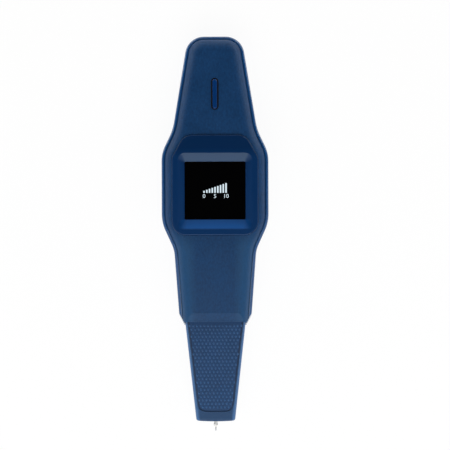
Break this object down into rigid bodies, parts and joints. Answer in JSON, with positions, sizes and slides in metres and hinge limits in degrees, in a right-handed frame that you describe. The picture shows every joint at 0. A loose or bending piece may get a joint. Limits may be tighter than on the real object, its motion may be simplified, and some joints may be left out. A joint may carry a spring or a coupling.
{
  "type": "diamond tester",
  "caption": "Hand-held diamond tester with a square display, a slot-shaped power key and a textured nose ending in a sprung probe tip.",
  "frame": {"origin": "centre of the bounding box in X and Y, at the rubber feet that stand on the counter", "axes": "+X across to the right seen from the front, +Y from the probe tip towards the head end, +Z out of the display"},
  "size_m": [0.0472, 0.1752, 0.0205],
  "materials": {
    "housing_satin": "satin moulded plastic",
    "cover_soft_touch": "matte soft touch with a fine leather grain",
    "bezel_gloss": "polished",
    "window_glass": "polished dark glass",
    "black_plastic": "matte black",
    "key_gloss": "polished",
    "nose_satin": "satin",
    "grip_rubber": "textured with small raised studs",
    "panel": "display panel",
    "foot_rubber": "matte black rubber",
    "foam": "foam",
    "ribbon": "polyimide film",
    "board": "green solder mask",
    "chips": "moulded black packages",
    "steel": "plain steel",
    "spring_steel": "drawn wire",
    "gold_contact": "gold plated",
    "cell_foil": "foil pouch",
    "tape": "adhesive pad",
    "lead_sleeve": "insulated wire",
    "connector_white": "moulded nylon",
    "ceramic_white": "pale glazed ferrule"
  },
  "bodies": {
    "main": {"rear_shell": "housing_satin", "front_cover": "cover_soft_touch", "screen_bezel": "bezel_gloss", "display_window": "window_glass", "window_gasket": "foam", "display_panel": "panel", "display_holder": "black_plastic", "display_ribbon": "ribbon", "ribbon_connector": "black_plastic", "key_surround": "black_plastic", "key_switch": "black_plastic", "main_board": "board", "board_chips": "chips", "buzzer": "black_plastic", "battery": "cell_foil", "battery_tape": "tape", "battery_connector": "connector_white", "battery_leads": "lead_sleeve", "port_shell": "steel", "port_tongue": "black_plastic", "touch_plate": "steel", "contact_pin": "gold_contact", "case_screws": "steel", "board_screws": "steel", "rear_feet": "foot_rubber", "nose_socket": "connector_white"},
    "key": {"power_key": "key_gloss", "switch_plunger": "black_plastic"},
    "nose": {"nose_shell_front": "nose_satin", "nose_shell_rear": "nose_satin", "grip_pad_front": "grip_rubber", "grip_pad_rear": "grip_rubber", "nose_screws": "steel", "probe_board": "board", "board_fingers": "gold_contact", "tip_bush": "black_plastic", "probe_spring": "spring_steel"},
    "probe": {"probe_needle": "steel", "probe_ferrule": "ceramic_white", "probe_carrier": "gold_contact", "sensor_bead": "chips"}
  },
  "joints": [
    {"name": "key_press", "type": "slide", "parent": "main", "child": "key", "axis": [0, 0, -1], "range_m": [0, 0.0004], "stiffness_N_per_m": 1500, "springref_m": -0.0003},
    {"name": "nose_pull", "type": "slide", "parent": "main", "child": "nose", "axis": [0, -1, 0], "range_m": [0, 0.02]},
    {"name": "probe_press", "type": "slide", "parent": "nose", "child": "probe", "axis": [0, 1, 0], "range_m": [0, 0.0016], "stiffness_N_per_m": 500, "springref_m": -0.001, "deforming": ["probe_spring"]}
  ]
}
